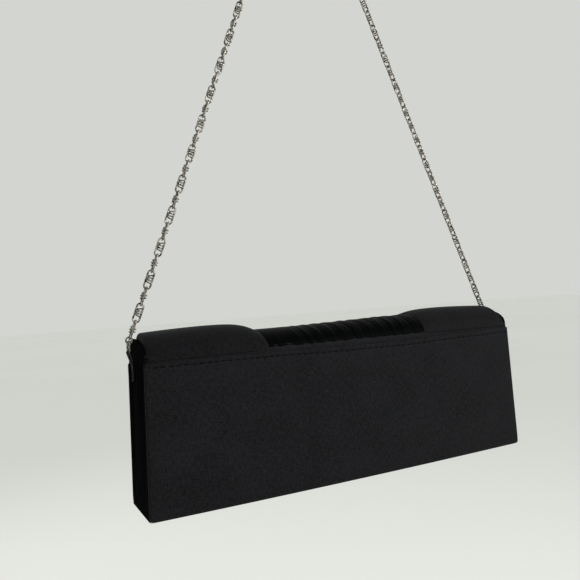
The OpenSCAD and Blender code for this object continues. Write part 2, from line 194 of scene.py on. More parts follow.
class Finish:
    """A material with its node tree, and short ways to add the nodes that the finishes share."""

    def __init__(self, name, roughness, metallic=0.0, **sockets):
        self.material = bpy.data.materials.new(name)
        self.material.use_nodes = True
        self.tree = self.material.node_tree
        self.shader = self.tree.nodes["Principled BSDF"]
        self.shader.inputs["Roughness"].default_value = roughness
        self.shader.inputs["Metallic"].default_value = metallic
        for socket, value in sockets.items():
            self.shader.inputs[socket.replace("_", " ")].default_value = value

    def node(self, kind, **values):
        made = self.tree.nodes.new(kind)
        for key, value in values.items():
            setattr(made, key, value)
        return made

    def link(self, source, target):
        self.tree.links.new(source, target)

    def place(self, source, scale, turn=0.0):
        """Coordinates from the piece's UV map or its own space, scaled and turned."""
        coordinates = self.node("ShaderNodeTexCoord")
        mapping = self.node("ShaderNodeMapping")
        mapping.inputs["Scale"].default_value = scale
        mapping.inputs["Rotation"].default_value = (0, 0, turn)
        self.link(coordinates.outputs[source], mapping.inputs["Vector"])
        return mapping.outputs["Vector"]

    def bands(self, vector, direction, distortion=0.0):
        """Thread lines one unit apart."""
        wave = self.node("ShaderNodeTexWave", wave_type="BANDS", bands_direction=direction)
        wave.inputs["Scale"].default_value = math.pi / 10
        wave.inputs["Distortion"].default_value = distortion
        wave.inputs["Detail Scale"].default_value = 1.0
        self.link(vector, wave.inputs["Vector"])
        return wave.outputs["Fac"]

    def grain(self, vector, scale, detail=3.0):
        texture = self.node("ShaderNodeTexNoise")
        texture.inputs["Scale"].default_value = scale
        texture.inputs["Detail"].default_value = detail
        self.link(vector, texture.inputs["Vector"])
        return texture.outputs["Fac"]

    def math(self, operation, first, second):
        made = self.node("ShaderNodeMath", operation=operation)
        for socket, value in zip(made.inputs, (first, second)):
            if isinstance(value, (int, float)):
                socket.default_value = value
            else:
                self.link(value, socket)
        return made.outputs["Value"]

    def ramp(self, value, low, high, low_colour, high_colour):
        made = self.node("ShaderNodeValToRGB")
        made.color_ramp.elements[0].position = low
        made.color_ramp.elements[1].position = high
        made.color_ramp.elements[0].color = (*low_colour, 1)
        made.color_ramp.elements[1].color = (*high_colour, 1)
        self.link(value, made.inputs["Fac"])
        return made.outputs["Color"]

    def spread(self, value, low, high):
        """The value from 0 to 1, spread from low to high."""
        made = self.node("ShaderNodeMapRange")
        made.inputs["To Min"].default_value = low
        made.inputs["To Max"].default_value = high
        self.link(value, made.inputs["Value"])
        return made.outputs["Result"]

    def colour(self, value):
        self.link(value, self.shader.inputs["Base Color"])

    def roughness(self, value):
        self.link(value, self.shader.inputs["Roughness"])

    def bump(self, height, depth):
        made = self.node("ShaderNodeBump")
        made.inputs["Distance"].default_value = depth
        made.inputs["Strength"].default_value = 1.0
        self.link(height, made.inputs["Height"])
        self.link(made.outputs["Normal"], self.shader.inputs["Normal"])


def woven(name, dark, light, thread, roughness, gloss, sheen=0.0, slub=1.0, depth=0.06 * MM, twill=False):
    """Cloth woven from fine threads, with slubs and patches of slightly different tone."""
    cloth = Finish(
        name, roughness,
        Specular_IOR_Level=gloss, Sheen_Weight=sheen, Sheen_Roughness=0.45,
    )
    cloth.shader.inputs["Sheen Tint"].default_value = (0.75, 0.78, 0.85, 1)
    threads = cloth.place("UV", (1 / thread,) * 3, math.radians(45) if twill else 0.0)
    warp = cloth.bands(threads, "X", 0.6)
    weft = cloth.bands(threads, "Y", 0.6)
    weave = cloth.math("MAXIMUM", warp, cloth.math("MULTIPLY", weft, 0.8))
    along = cloth.grain(cloth.place("UV", (420, 1500, 1)), 1.0)
    across = cloth.grain(cloth.place("UV", (1300, 360, 1)), 1.0)
    slubs = cloth.math("MULTIPLY", cloth.math("ADD", along, across), 0.5)
    patches = cloth.grain(cloth.place("Object", (45, 45, 45)), 1.0, 2.0)
    mixed = cloth.math("ADD", cloth.math("MULTIPLY", weave, 0.12), cloth.math("MULTIPLY", slubs, slub))
    mixed = cloth.math("ADD", mixed, cloth.math("MULTIPLY", patches, 0.18))
    middle = 0.07 + 0.5 * slub + 0.09
    cloth.colour(cloth.ramp(mixed, middle - 0.17, middle + 0.17, dark, light))
    cloth.roughness(cloth.spread(slubs, roughness - 0.06, roughness + 0.1))
    cloth.bump(cloth.math("ADD", weave, cloth.math("MULTIPLY", slubs, 1.2)), depth)
    return cloth.material


def floor_paint():
    paint = Finish("pale_floor", 0.85, Specular_IOR_Level=0.1)
    tone = paint.grain(paint.place("Object", (0.6, 0.6, 0.6)), 1.0)
    paint.colour(paint.ramp(tone, 0.3, 0.7, (0.8, 0.81, 0.785), (0.83, 0.84, 0.815)))
    return paint.material


def antiqued_silver():
    """Plated wire, antiqued dark in the hollows and rubbed bright on the high points; here the dark and
    bright patches are spread by noise.
    """
    metal = Finish("antiqued_silver", 0.3, 1.0)
    place = metal.place("Object", (1, 1, 1))
    wear = metal.grain(place, 780, 3.0)
    fine = metal.grain(place, 4200, 2.0)
    metal.colour(metal.ramp(wear, 0.36, 0.66, (0.035, 0.03, 0.023), (0.46, 0.435, 0.385)))
    metal.roughness(metal.spread(fine, 0.2, 0.42))
    metal.bump(fine, 0.03 * MM)
    return metal.material


def nickel():
    metal = Finish("bright_nickel", 0.28, 1.0)
    turned = metal.place("Object", (1, 1, 1))
    brushed = metal.grain(turned, 1500, 3.0)
    metal.colour(metal.ramp(brushed, 0.3, 0.7, (0.5, 0.49, 0.47), (0.68, 0.67, 0.65)))
    metal.roughness(metal.spread(brushed, 0.2, 0.36))
    metal.bump(brushed, 0.02 * MM)
    return metal.material


def ferrite():
    stone = Finish("dark_ferrite", 0.6, 0.2)
    grit = stone.grain(stone.place("Object", (1, 1, 1)), 3500, 4.0)
    stone.colour(stone.ramp(grit, 0.3, 0.7, (0.02, 0.02, 0.022), (0.07, 0.07, 0.075)))
    stone.bump(grit, 0.04 * MM)
    return stone.material


def fibre_board():
    board = Finish("grey_board", 0.85, Specular_IOR_Level=0.2)
    fibres = board.grain(board.place("Object", (1500, 500, 900)), 1.0, 5.0)
    flecks = board.grain(board.place("Object", (1, 1, 1)), 5200, 2.0)
    tone = board.math("ADD", board.math("MULTIPLY", fibres, 0.6), board.math("MULTIPLY", flecks, 0.4))
    board.colour(board.ramp(tone, 0.3, 0.7, (0.17, 0.16, 0.14), (0.34, 0.32, 0.28)))
    board.bump(tone, 0.1 * MM)
    return board.material


def fleece():
    wool = Finish("white_wadding", 0.95, Sheen_Weight=0.4)
    tangle = wool.grain(wool.place("Object", (1, 1, 1)), 2200, 6.0)
    wool.colour(wool.ramp(tangle, 0.3, 0.7, (0.62, 0.62, 0.6), (0.85, 0.85, 0.83)))
    wool.bump(tangle, 0.4 * MM)
    return wool.material


def spun_thread():
    """Sewing thread: a fine twist along each stitch."""
    thread = Finish("black_thread", 0.6, Specular_IOR_Level=0.02)
    twist = thread.bands(thread.place("Object", (5200, 5200, 5200), 0.5), "DIAGONAL")
    thread.colour(thread.ramp(twist, 0.2, 0.8, (0.0006, 0.0006, 0.0007), (0.002, 0.002, 0.0022)))
    thread.bump(twist, 0.03 * MM)
    return thread.material


make_camera()
make_studio()

SATIN = woven("duchess_satin", (0.0033, 0.0033, 0.0038), (0.0142, 0.0142, 0.0163),
              thread=0.42 * MM, roughness=0.55, gloss=0.03, sheen=0.008, twill=True)
# The wings' satin is a darker copy of the cover's satin: painted shade, darkening the wings as if less light
# fell on them.
WING_SATIN_PAINTED_SHADE = woven("wing_satin_painted_shade", (0.0027, 0.0027, 0.0031), (0.0108, 0.0108, 0.0124),
                   thread=0.42 * MM, roughness=0.55, gloss=0.026, sheen=0.007, twill=True)
# The gussets' satin is a much darker copy of the cover's satin, with almost no gloss: painted shade for the
# bag's two ends.
GUSSET_SATIN_PAINTED_SHADE = woven("gusset_satin_painted_shade", (0.0009, 0.0009, 0.001), (0.0034, 0.0034, 0.0039),
                   thread=0.42 * MM, roughness=0.6, gloss=0.0005, depth=0.03 * MM, twill=True)
RUCHED = woven("gathered_satin", (0.0004, 0.0005, 0.0006), (0.002, 0.0022, 0.0025),
               thread=0.34 * MM, roughness=0.38, gloss=0.006, slub=0.6, depth=0.02 * MM)
LINING = woven("acetate_lining", (0.003, 0.003, 0.0036), (0.009, 0.009, 0.0105),
               thread=0.3 * MM, roughness=0.42, gloss=0.14, sheen=0.01, depth=0.03 * MM)
RIBBON = woven("grosgrain_ribbon", (0.0015, 0.0015, 0.0017), (0.005, 0.005, 0.0055),
               thread=0.6 * MM, roughness=0.6, gloss=0.08, sheen=0.01, depth=0.15 * MM)
SILVER = antiqued_silver()
NICKEL = nickel()
FERRITE = ferrite()
BOARD = fibre_board()
WADDING = fleece()
THREAD = spun_thread()


# ---------- ways of making a piece ----------

def select_only(piece):
    bpy.ops.object.select_all(action="DESELECT")
    piece.select_set(True)
    bpy.context.view_layer.objects.active = piece


def finish_piece(piece, name, material, body, replaced=()):
    """Names a shaped piece, dresses it, and tells the frame what it rides on and stands for."""
    piece.name = name
    piece.data.name = name
    piece.data.materials.clear()
    piece.data.materials.append(material)
    select_only(piece)
    bpy.ops.object.shade_smooth()
    if body:
        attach(piece, body)
    if replaced:
        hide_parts(*replaced)


def apply_modifier(piece, kind, **values):
    select_only(piece)
    modifier = piece.modifiers.new("shaping", kind)
    for key, value in values.items():
        setattr(modifier, key, value)
    bpy.ops.object.modifier_apply(modifier="shaping")


def face_outwards(piece):
    """Turns the faces of a closed piece outwards."""
    select_only(piece)
    bpy.ops.object.mode_set(mode="EDIT")
    bpy.ops.mesh.select_all(action="SELECT")
    bpy.ops.mesh.normals_make_consistent(inside=False)
    bpy.ops.object.mode_set(mode="OBJECT")


def lay_out(piece, cut):
    """Gives a piece the UV map of its flat cloth, where cut holds each vertex's place."""
    layer = piece.data.uv_layers.active
    for loop in piece.data.loops:
        layer.data[loop.index].uv = cut[loop.vertex_index]


def cloth_grid(columns, rows, shape):
    """A grid of cloth: shape(s, t) gives a point and its place on the flat cloth, for s, t in 0..1."""
    bpy.ops.mesh.primitive_grid_add(x_subdivisions=columns, y_subdivisions=rows, size=1)
    piece = bpy.context.active_object
    cut = {}
    for vertex in piece.data.vertices:
        vertex.co, cut[vertex.index] = shape(vertex.co.x + 0.5, vertex.co.y + 0.5)
    lay_out(piece, cut)
    return piece


def turn_if(piece, wrong):
    """Turns a sheet over where most of its faces look the wrong way."""
    piece.data.update()
    if sum(wrong(f.center, f.normal) for f in piece.data.polygons) > len(piece.data.polygons) / 2:
        piece.data.flip_normals()


def thicken(piece, thickness, towards=-1.0):
    apply_modifier(piece, "SOLIDIFY", thickness=thickness, offset=towards, use_even_offset=False)


def pad_grid(columns, rows, outer, inner):
    """A closed pad between two surfaces, each a function of s, t in 0..1, and its inner points."""
    bpy.ops.mesh.primitive_grid_add(x_subdivisions=columns, y_subdivisions=rows, size=1)
    piece = bpy.context.active_object
    apply_modifier(piece, "SOLIDIFY", thickness=0.1, offset=-1.0)
    cut = {}
    sewn = []
    for vertex in piece.data.vertices:
        below = vertex.co.z < -0.05
        surface = inner if below else outer
        vertex.co, cut[vertex.index] = surface(vertex.co.x + 0.5, vertex.co.y + 0.5)
        if below:
            sewn.append(vertex.index)
    lay_out(piece, cut)
    face_outwards(piece)
    return piece, sewn


def copies(model, places, name):
    """One piece that holds a copy of the model's mesh at each place."""
    gathered = bmesh.new()
    for place in places:
        one = bmesh.new()
        one.from_mesh(model.data)
        one.transform(place)
        mesh = bpy.data.meshes.new("one")
        one.to_mesh(mesh)
        gathered.from_mesh(mesh)
        one.free()
        bpy.data.meshes.remove(mesh)
    mesh = bpy.data.meshes.new(name)
    gathered.to_mesh(mesh)
    gathered.free()
    piece = bpy.data.objects.new(name, mesh)
    bpy.context.scene.collection.objects.link(piece)
    return piece


# ---------- the cover: back, base and front in one length of satin ----------

COVER_CLOTH = 0.45 * MM
FOLD_R = 1.6 * MM
SIDE_R = 1.1 * MM
FOOT_CORNER = 2.6 * MM
HEM_DEPTH = 5.0 * MM
HEM_R = (COVER_T - 0.04 * MM) / 2
STITCH_DROP = 2.7 * MM
STITCH_SINK = 0.3 * MM
BASE_BOW = 0.7 * MM
CROWN = 0.45 * MM
LIFT_REACH = 12 * MM


def fold_edge(x):
    """Height of the back's folded top edge: it sags a little between the two ends."""
    sag = math.exp(-((x + 25 * MM) / (66 * MM)) ** 2)
    return SEAM_Z - 0.1 * MM - 1.8 * MM * sag - 0.2 * MM * (1 + ripple(x, 0, 0, 0.03))


def stitch_line(x):
    """Height of the topstitch, a little closer to the edge at one end of the bag."""
    return fold_edge(x) - STITCH_DROP + 0.5 * MM * x / MOUTH_HALF


def base_lift(x):
    """The base bows up a little to its two ends."""
    return BASE_BOW * (x / BASE_HALF) ** 2


def crown(x, z, top):
    """How far a face stands out over its board."""
    across = 1 - (x / BASE_HALF) ** 4
    up = math.sin(math.pi * min(1, max(0, z / top))) ** 0.7
    wave = 0.16 * MM * ripple(x, z, 3, 0.035) + 0.1 * MM * ripple(x, z, 9, 0.014)
    return CROWN * across * up + wave * up


def stitch_line_sink(x, z):
    """The topstitch draws the satin in along its line, with a small pucker at each stitch."""
    line = stitch_line(x)
    near = math.exp(-((z - line) / (0.55 * MM)) ** 2)
    wide = math.exp(-((z - line) / (3.5 * MM)) ** 2)
    pucker = 0.07 * MM * math.sin(2 * math.pi * x / (7.5 * MM) + 3 * ripple(x, 0, 5, 0.05))
    return near * STITCH_SINK + wide * pucker


def corner_draw(z):
    """How much narrower a face is near its rounded lower corner."""
    if z >= FOOT_CORNER:
        return 0.0
    gone = FOOT_CORNER - z
    return FOOT_CORNER - math.sqrt(max(0.0, FOOT_CORNER ** 2 - gone ** 2))


def cover_path():
    """The cover's route in Y and Z with its inward direction: hem, back, fold, base, fold, front, hem."""
    top, mouth = SEAM_Z, MOUTH_Z
    inner_back, inner_front = BACK_Y - 2 * HEM_R, FRONT_Y + 2 * HEM_R
    path = []
    for z in spaced(4, top - HEM_DEPTH, top - HEM_R):
        path.append((inner_back, z, 1, 0, "hem"))
    for a in spaced(7, 0, math.pi)[1:-1]:
        path.append((BACK_Y - HEM_R - HEM_R * math.cos(a), top - HEM_R + HEM_R * math.sin(a),
                     math.cos(a), -math.sin(a), "fold"))
    for z in spaced(22, top - HEM_R, top - 8 * MM):
        path.append((BACK_Y, z, -1, 0, "back"))
    for z in spaced(22, top - 8 * MM, FOLD_R)[1:]:
        path.append((BACK_Y, z, -1, 0, "back"))
    for a in spaced(7, 0, math.pi / 2)[1:-1]:
        path.append((BACK_Y - FOLD_R + FOLD_R * math.cos(a), FOLD_R - FOLD_R * math.sin(a),
                     -math.cos(a), math.sin(a), "corner"))
    for y in spaced(12, BACK_Y - FOLD_R, FRONT_Y + FOLD_R):
        path.append((y, 0, 0, 1, "base"))
    for a in spaced(7, 0, math.pi / 2)[1:-1]:
        path.append((FRONT_Y + FOLD_R - FOLD_R * math.sin(a), FOLD_R - FOLD_R * math.cos(a),
                     math.sin(a), math.cos(a), "corner"))
    for z in spaced(26, FOLD_R, mouth - HEM_R):
        path.append((FRONT_Y, z, 1, 0, "front"))
    for a in spaced(7, 0, math.pi)[1:-1]:
        path.append((FRONT_Y + HEM_R - HEM_R * math.cos(a), mouth - HEM_R + HEM_R * math.sin(a),
                     math.cos(a), -math.sin(a), "front_fold"))
    for z in spaced(4, mouth - HEM_R, mouth - HEM_DEPTH):
        path.append((inner_front, z, -1, 0, "front_hem"))
    return path


def cover_columns():
    """Places across the cover: the two turned sides, close together, and the flat between them."""
    turned = [("turn", a) for a in spaced(6, math.pi / 2, 0)]
    flat = [("flat", q) for q in spaced(66, -1, 1)]
    return [(-1, *c) for c in turned] + [(0, *c) for c in flat[1:-1]] + [(1, *c) for c in reversed(turned)]


def cover_point(column, row):
    """Where the cover's satin lies, from its column across the bag and its row round it."""
    side, kind, value = column
    y, z, in_y, in_z, zone = row
    half = half_width(z) - corner_draw(z)
    half_flat = half - SIDE_R
    if kind == "flat":
        x, depth = value * half_flat, 0.0
    else:
        x = side * (half_flat + SIDE_R * math.sin(value))
        depth = SIDE_R * (1 - math.cos(value))
    if zone in ("hem", "fold", "front_fold", "front_hem"):
        depth *= 0.15
    out = 0.0
    lift = 0.0
    if zone in ("back", "fold", "hem"):
        share = soft_step((z - (SEAM_Z - 10 * MM)) / (8 * MM))
        lift = (fold_edge(x) - SEAM_Z) * share
    if zone == "back":
        out = crown(x, z, SEAM_Z) - stitch_line_sink(x, z + lift)
    if zone == "front":
        out = crown(x, z + 20 * MM, MOUTH_Z + 20 * MM)
    if zone in ("base", "corner"):
        lift = base_lift(x)
    elif zone in ("back", "front") and z < LIFT_REACH:
        lift += base_lift(x) * (1 - z / LIFT_REACH)
    return Vector((x, y + in_y * (depth - out), z + in_z * depth + lift))


def make_cover():
    rows = cover_path()
    columns = cover_columns()
    lengths = lengths_along(rows)

    def shape(s, t):
        point = cover_point(pick(columns, s), pick(rows, t))
        return point, (point.x, pick(lengths, t))

    piece = cloth_grid(len(columns) - 1, len(rows) - 1, shape)
    turn_if(piece, lambda c, n: n.dot(Vector((0, c.y, c.z - SEAM_Z / 2))) < 0)
    thicken(piece, COVER_CLOTH)
    finish_piece(piece, "satin_cover", SATIN, "bag",
                 ("back_panel", "base_panel", "front_panel"))


# ---------- gussets and lining ----------

GUSSET_CLOTH = 0.4 * MM
GUSSET_FOOT = 1.2 * MM
GUSSET_HEM = 2.2 * MM
TAB_Y = (tab_low.y + tab_high.y) / 2
# Each upright fold: its place along Y, its half width and its depth.
PLEATS = (
    (11.0 * MM, 2.6 * MM, 2.0 * MM),
    (-12.5 * MM, 2.2 * MM, 1.5 * MM),
    (4.6 * MM, 1.5 * MM, 0.6 * MM),
)
EAR_HALF = gusset_low.x + 0.42 * MM
EAR_LEAN = 5 * MM
EAR_CORNER = 4 * MM
EAR_FOOT = SEAM_Z + 0.2 * MM
EAR_RISE = gusset_high.z - SEAM_Z + 0.1 * MM
EAR_REACH = DOME_A + 1.45 * MM
ROUND_ARCH = 0.5
SQUARE_ARCH = 0.34


def gusset_sink(y, z):
    """The gusset's upright folds: deepest at the mouth, gone at the base."""
    share = soft_step((z - 4 * MM) / (0.75 * MOUTH_Z))
    fold = sum(depth * math.exp(-((y - place) / width) ** 2) for place, width, depth in PLEATS)
    slack = 0.25 * MM * ripple(y, z, 2, 0.012)
    return share * (fold + slack + 0.12 * MM)


def ear_top(y):
    """Height of the arched ear that fills the dome's open end: round in front, squarer behind."""
    across = (y - DOME_MID) / EAR_REACH
    top = EAR_FOOT + EAR_RISE * max(0.0, 1 - across * across) ** (SQUARE_ARCH if y > DOME_MID else ROUND_ARCH)
    past = min(EAR_CORNER, max(0.0, FRONT_Y + SIDE_R + EAR_CORNER - y))
    return top - EAR_CORNER + math.sqrt(EAR_CORNER ** 2 - past ** 2)


def make_gusset(side):
    hand = HANDS[side]
    edge = BACK_Y - SIDE_R - COVER_CLOTH * 0.2
    ys = spaced(61, -edge, edge)

    def shape(s, t):
        y = pick(ys, s)
        z = GUSSET_FOOT + (ear_top(y) - GUSSET_FOOT) * t
        hem = soft_step((abs(y) - edge + GUSSET_HEM) / GUSSET_HEM)
        below = half_width(z) - 0.12 * MM - gusset_sink(y, z) * (1 - hem)
        x = below + (EAR_HALF - below) * soft_step((z - MOUTH_Z + 2 * MM) / EAR_LEAN)
        return Vector((side * x, y, z)), (y, z)

    piece = cloth_grid(len(ys) - 1, 44, shape)
    turn_if(piece, lambda c, n: n.x * side < 0)
    thicken(piece, GUSSET_CLOTH)
    # The gusset is dressed in the darker satin that carries painted shade.
    finish_piece(piece, hand + "_gusset_satin_painted_shade", GUSSET_SATIN_PAINTED_SHADE, "bag", (hand + "_gusset",))


LINING_CLOTH = 0.3 * MM
LINING_BACK = lining_high.y
LINING_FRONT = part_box("front_lining")[0].y
LINING_TOP = lining_high.z - 0.4 * MM
LINING_GAP = 0.25 * MM
LINING_SLACK = 0.22 * MM
LINING_FLOOR = lining_floor + 0.1 * MM


def make_lining():
    """The pouch's back, floor and front in one length, slack between its sewn edges."""
    back_top, front_top = board_high.z + 0.45 * MM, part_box("front_board")[1].z + 0.45 * MM
    rows = [(y, back_top) for y in spaced(4, board_high.y - 0.05 * MM, LINING_BACK + 0.3 * MM)]
    rows += [(LINING_BACK, z) for z in spaced(26, back_top - 0.3 * MM, LINING_FLOOR + 2 * MM)]
    rows += [(y, LINING_FLOOR) for y in spaced(12, LINING_BACK - 1.2 * MM, LINING_FRONT + 1.2 * MM)]
    rows += [(LINING_FRONT, z) for z in spaced(26, LINING_FLOOR + 2 * MM, front_top - 0.3 * MM)]
    rows += [(y, front_top) for y in spaced(4, LINING_FRONT - 0.3 * MM, FRONT_Y + 2 * HEM_R + 0.05 * MM)]
    xs = spaced(61, -1, 1)

    def shape(s, t):
        across = pick(xs, s)
        y, z = pick(rows, t)
        x = across * (half_width(z) - COVER_T - LINING_GAP)
        slack = LINING_SLACK * (1 + ripple(x, y * 3, z, 0.02))
        edge = 1 - across ** 8
        if abs(z - back_top) < 0.01 * MM or abs(z - front_top) < 0.01 * MM:
            z += 0.1 * MM * edge
        elif z > LINING_FLOOR:
            y -= math.copysign(slack * edge + 0.05 * MM, y)
        else:
            z += slack * edge
        return Vector((x, y, z)), (x, z - y)

    piece = cloth_grid(len(xs) - 1, len(rows) - 1, shape)
    turn_if(piece, lambda c, n: n.dot(Vector((0, -c.y, 0.03 - c.z))) < 0)
    thicken(piece, LINING_CLOTH)
    finish_piece(piece, "pouch_lining", LINING, "bag",
                 ("back_lining", "base_lining", "front_lining"))


def make_gusset_lining(side):
    hand = HANDS[side]
    ys = spaced(45, LINING_FRONT + 0.2 * MM, LINING_BACK - 0.2 * MM)
    zs = spaced(26, LINING_FLOOR, LINING_TOP - (SEAM_Z - MOUTH_Z))

    def shape(s, t):
        y, z = pick(ys, s), pick(zs, t)
        x = half_width(z) - COVER_T - LINING_GAP - gusset_sink(y, z)
        return Vector((side * x, y, z)), (y, z)

    piece = cloth_grid(len(ys) - 1, len(zs) - 1, shape)
    turn_if(piece, lambda c, n: n.x * side > 0)
    thicken(piece, LINING_CLOTH)
    finish_piece(piece, hand + "_gusset_inner", LINING, "bag", (hand + "_gusset_lining",))


def make_pocket():
    """A patch pocket on the back lining, its hem doubled and standing slightly open."""
    half = pocket_high.x
    foot, top = pocket_low.z, pocket_high.z
    hem, turned = 8 * MM, 0.35 * MM
    face = LINING_BACK - 0.75 * MM
    rows = [(z, 0.0) for z in spaced(24, foot, top - 0.3 * MM)]
    rows += [(top, 0.15 * MM), (top - 0.3 * MM, turned)]
    rows += [(z, turned) for z in spaced(4, top - 1.5 * MM, top - hem)]
    xs = spaced(49, -half, half)

    def shape(s, t):
        x = pick(xs, s)
        z, inner = pick(rows, t)
        gape = 0.7 * MM * soft_step((z - foot) / (top - foot)) * (1 - (x / half) ** 4)
        return Vector((x, face - gape - 0.1 * MM * ripple(x, 0, z, 0.012) - inner, z)), (x, z + inner)

    piece = cloth_grid(len(xs) - 1, len(rows) - 1, shape)
    turn_if(piece, lambda c, n: n.y > 0)
    thicken(piece, 0.25 * MM, 1.0)
    finish_piece(piece, "patch_pocket", LINING, "bag", ("slip_pocket",))


# ---------- the flap: dome, padded wings, ruched band ----------

DOME_Z = SEAM_Z + 0.3 * MM
DOME_B = flap_high.z - DOME_Z
MIDDLE_FOOT = flap_lining_low.z


def reach(node, test):
    """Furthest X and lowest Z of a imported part's points that pass a test."""
    found = [v.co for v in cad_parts[node].data.vertices if test(v.co)]
    return max(p.x for p in found), min(p.z for p in found)


WING_BACK_HALF = wing_high.x
WING_FRONT_HALF = reach("right_wing_cover", lambda p: p.y < wing_low.y + MM)[0]
CORNER_R = 12 * MM
CORNER_X = WING_FRONT_HALF - CORNER_R
END_FOOT = reach("right_wing_cover", lambda p: p.x > CORNER_X - 8 * MM and p.y < wing_low.y + MM)[1]
BAND_SEAM_HALF = 54 * MM
BAND_CROWN_HALF = band_high.x
BAND_FOOT_HALF = wing_low.x
DOME_STEPS = 40


def dome_arc():
    """Points over the dome from the back seam, as (length so far, y, z, out y, out z)."""
    turns = spaced(DOME_STEPS + 1, 0, math.pi)
    line = [(DOME_MID + DOME_A * math.cos(a), DOME_Z + DOME_B * math.sin(a)) for a in turns]
    outs = [Vector((math.cos(a) / DOME_A, math.sin(a) / DOME_B)).normalized() for a in turns]
    return [(length, *point, *out) for length, point, out in zip(lengths_along(line), line, outs)]


ARC = dome_arc()
ARC_LENGTH = ARC[-1][0]


def on_dome(v):
    """(y, z, out y, out z) at a length v from the back seam, over the dome and down the front."""
    if v > ARC_LENGTH:
        return DOME_MID - DOME_A, DOME_Z - (v - ARC_LENGTH), -1.0, 0.0
    for a, b in zip(ARC, ARC[1:]):
        if v <= b[0]:
            t = (v - a[0]) / (b[0] - a[0])
            y, z, oy, oz = (a[k] + (b[k] - a[k]) * t for k in (1, 2, 3, 4))
            size = math.hypot(oy, oz)
            return y, z, oy / size, oz / size
    return ARC[-1][1:]


def from_dome(place):
    """The direction from the dome's middle line to a place on the flap."""
    return Vector((0, place.y - DOME_MID, max(0, place.z - DOME_Z)))


def flap_half(v):
    """Half width of the flap: full at the back, narrower from the crown to the front."""
    y = on_dome(v)[0]
    start = -1.5 * MM
    share = soft_step((start - y) / (start - wing_low.y)) ** 0.8
    return WING_BACK_HALF + (WING_FRONT_HALF - WING_BACK_HALF) * share


def band_half(v):
    """Half width of the ruched band: a gentle S over the dome, drawn in to its foot down the front."""
    y, z, _, _ = on_dome(v)
    swell = math.cos(math.pi / 2 * min(1, abs(y) / BACK_Y)) ** 0.8
    over = BAND_SEAM_HALF + (BAND_CROWN_HALF - BAND_SEAM_HALF) * swell - 2 * MM * soft_step(-y / BACK_Y)
    if v <= ARC_LENGTH:
        return over
    down = (DOME_Z - z) / (DOME_Z - MIDDLE_FOOT)
    return BAND_FOOT_HALF + (over - BAND_FOOT_HALF) * (1 + math.cos(math.pi * min(1, down))) / 2


def foot_z(x):
    """Height of the flap's lower edge: deep in the middle, rounded up at the two corners."""
    x = abs(x)
    z = MIDDLE_FOOT + (END_FOOT - MIDDLE_FOOT) * (1 - math.cos(math.pi * min(1, x / CORNER_X))) / 2
    if x > CORNER_X:
        over = min(x - CORNER_X, CORNER_R)
        z += CORNER_R - math.sqrt(CORNER_R ** 2 - over ** 2)
    return z


def length_to_foot(x_at):
    """Length over the flap to its lower edge, where the piece's edge runs at x_at(v)."""
    v = ARC_LENGTH + DOME_Z - END_FOOT
    for _ in range(12):
        v = 0.5 * v + 0.5 * (ARC_LENGTH + DOME_Z - foot_z(x_at(v)))
    return v


WING_CROWN_T = wing_high.z - flap_high.z
WING_FRONT_T = flap_low.y - wing_low.y
WING_SEAM_T = 1.9 * MM
EDGE_T = 1.3 * MM
HEM_T = 0.5 * MM
SHOULDER = 6.5 * MM
WING_LONG = 69 * MM
END_ROLL = 2.6 * MM
WING_HEM = 5 * MM
TUCK = 0.4 * MM


def wing_profile(inner_distance, end_distance):
    """Share of the wing's fullness: it rises over a soft shoulder and settles towards the end."""
    shoulder = 1 - math.exp(-inner_distance / SHOULDER)
    settle = 0.42 * (inner_distance / WING_LONG) ** 2.6
    rolled = 1 - 0.85 * (1 - min(1, end_distance / END_ROLL)) ** 3
    return max(0.0, shoulder * 1.06 - settle) * rolled


def wing_fullness(v):
    """Greatest thickness of a wing along the flap: thin at the seam, full at the crown."""
    if v > ARC_LENGTH:
        return WING_FRONT_T
    share = v / ARC_LENGTH
    seam = WING_SEAM_T + (WING_CROWN_T - WING_SEAM_T) * soft_step(share / 0.38)
    return seam + (WING_FRONT_T - WING_CROWN_T) * soft_step((share - 0.6) / 0.4)


def wing_thickness(v, to_foot, inner_distance, end_distance):
    """Thickness of a wing, from its distances to the flap's edge, the band and the bag's end."""
    full = EDGE_T + (wing_fullness(v) - EDGE_T) * wing_profile(inner_distance, end_distance)
    hem = soft_step(to_foot / WING_HEM) ** 0.5
    return HEM_T + (full - HEM_T) * max(0.12, hem)


def edge_spaced(s, tight):
    """Moves evenly spaced places towards both ends."""
    return s - tight * math.sin(2 * math.pi * s) / (2 * math.pi)


def wing_surface(side, inset, thin, lift):
    """A function of s, t for one face of a wing's pad: full times thin, or flat at a lift."""
    def surface(s, t):
        s_even = edge_spaced(s, 0.75)

        def x_at(v):
            low = band_half(v) + inset - TUCK
            high = flap_half(v) - inset
            return low + (high - low) * s_even

        to_foot = length_to_foot(x_at) - inset
        v = inset * 0.4 + (to_foot - inset * 0.4) * edge_spaced(t, 0.45)
        x = x_at(v)
        y, z, oy, oz = on_dome(v)
        thickness = lift
        if thin > 0:
            full = wing_thickness(v, to_foot - v, x - (band_half(v) - TUCK), flap_half(v) - x)
            thickness = thin * (full + 0.12 * MM * ripple(x, v, 4 * side, 0.018))
        return Vector((side * x, y + oy * thickness, z + oz * thickness)), (x, v)
    return surface


